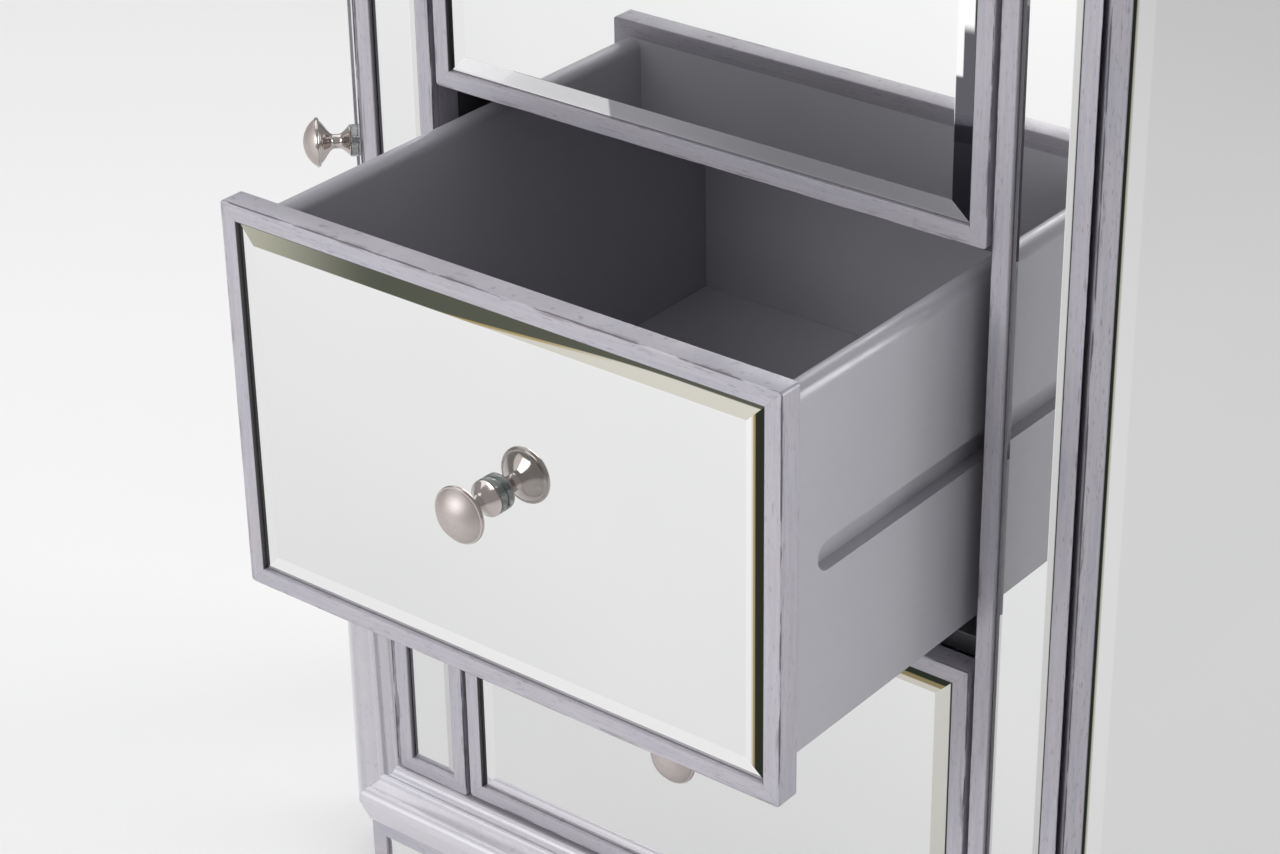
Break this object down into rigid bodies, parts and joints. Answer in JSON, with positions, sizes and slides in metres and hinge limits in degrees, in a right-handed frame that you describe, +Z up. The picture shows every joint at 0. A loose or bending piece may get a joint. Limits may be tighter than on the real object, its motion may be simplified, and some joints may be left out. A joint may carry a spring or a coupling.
{
  "type": "mirrored drawer cabinet",
  "caption": "Mirrored accent cabinet with a stack of drawers between canted corner doors, on a moulded plinth with block feet.",
  "frame": {"origin": "on the floor, under the middle of the bounding box with the middle drawer open as at rest", "axes": "+Z up, -Y towards the drawer fronts, +X to the right of a person facing the front"},
  "size_m": [0.812, 0.5886, 0.897],
  "materials": {
    "silver_paint": "antique silver paint on wood, brushed in streaks with darker worn edges",
    "grey_paint": "smooth satin silver-grey paint on wood",
    "mirror_glass": "clear silvered glass with ground bevels",
    "satin_nickel": "satin nickel",
    "zinc_steel": "bright zinc plate",
    "black_plastic": "matte black moulding"
  },
  "bodies": {
    "cabinet": {"top_board": "grey_paint", "top_moulding": "silver_paint", "top_mirror": "mirror_glass", "back_panel": "grey_paint", "bottom_board": "grey_paint", "base_battens": "grey_paint", "side_panels": "grey_paint", "side_frames": "silver_paint", "side_mirrors": "mirror_glass", "partitions": "grey_paint", "pilasters": "silver_paint", "pilaster_frames": "silver_paint", "pilaster_mirrors": "mirror_glass", "drawer_rails": "grey_paint", "drawer_runners": "grey_paint", "shelves": "grey_paint", "shelf_pins": "zinc_steel", "base_moulding": "silver_paint", "plinth_boards": "grey_paint", "plinth_frames": "silver_paint", "plinth_mirrors": "mirror_glass", "feet": "silver_paint", "foot_glides": "black_plastic", "pivot_bushes": "zinc_steel", "door_catches": "black_plastic"},
    "upper_drawer": {"upper_drawer_panel": "silver_paint", "upper_drawer_frame": "silver_paint", "upper_drawer_mirror": "mirror_glass", "upper_drawer_box": "grey_paint", "upper_drawer_bottom": "grey_paint", "upper_drawer_knob": "satin_nickel", "upper_drawer_knob_fixings": "zinc_steel"},
    "middle_drawer": {"middle_drawer_panel": "silver_paint", "middle_drawer_frame": "silver_paint", "middle_drawer_mirror": "mirror_glass", "middle_drawer_box": "grey_paint", "middle_drawer_bottom": "grey_paint", "middle_drawer_knob": "satin_nickel", "middle_drawer_knob_fixings": "zinc_steel"},
    "lower_drawer": {"lower_drawer_panel": "silver_paint", "lower_drawer_frame": "silver_paint", "lower_drawer_mirror": "mirror_glass", "lower_drawer_box": "grey_paint", "lower_drawer_bottom": "grey_paint", "lower_drawer_knob": "satin_nickel", "lower_drawer_knob_fixings": "zinc_steel"},
    "left_door": {"left_door_panel": "silver_paint", "left_door_frame": "silver_paint", "left_door_mirror": "mirror_glass", "left_door_knob": "satin_nickel", "left_door_knob_fixings": "zinc_steel", "left_door_pivots": "zinc_steel", "left_door_strike": "zinc_steel"},
    "right_door": {"right_door_panel": "silver_paint", "right_door_frame": "silver_paint", "right_door_mirror": "mirror_glass", "right_door_knob": "satin_nickel", "right_door_knob_fixings": "zinc_steel", "right_door_pivots": "zinc_steel", "right_door_strike": "zinc_steel"}
  },
  "joints": [
    {"name": "upper_drawer_slide", "type": "slide", "parent": "cabinet", "child": "upper_drawer", "axis": [0, -1, 0], "range_m": [0, 0.25]},
    {"name": "middle_drawer_slide", "type": "slide", "parent": "cabinet", "child": "middle_drawer", "axis": [0, -1, 0], "range_m": [-0.1615, 0.0885]},
    {"name": "lower_drawer_slide", "type": "slide", "parent": "cabinet", "child": "lower_drawer", "axis": [0, -1, 0], "range_m": [0, 0.25]},
    {"name": "left_door_hinge", "type": "hinge", "parent": "cabinet", "child": "left_door", "pos_m": [-0.23623, -0.08159, 0.19], "axis": [0, 0, 1], "range_deg": [0, 105]},
    {"name": "right_door_hinge", "type": "hinge", "parent": "cabinet", "child": "right_door", "pos_m": [0.23623, -0.08159, 0.19], "axis": [0, 0, -1], "range_deg": [0, 105]}
  ]
}
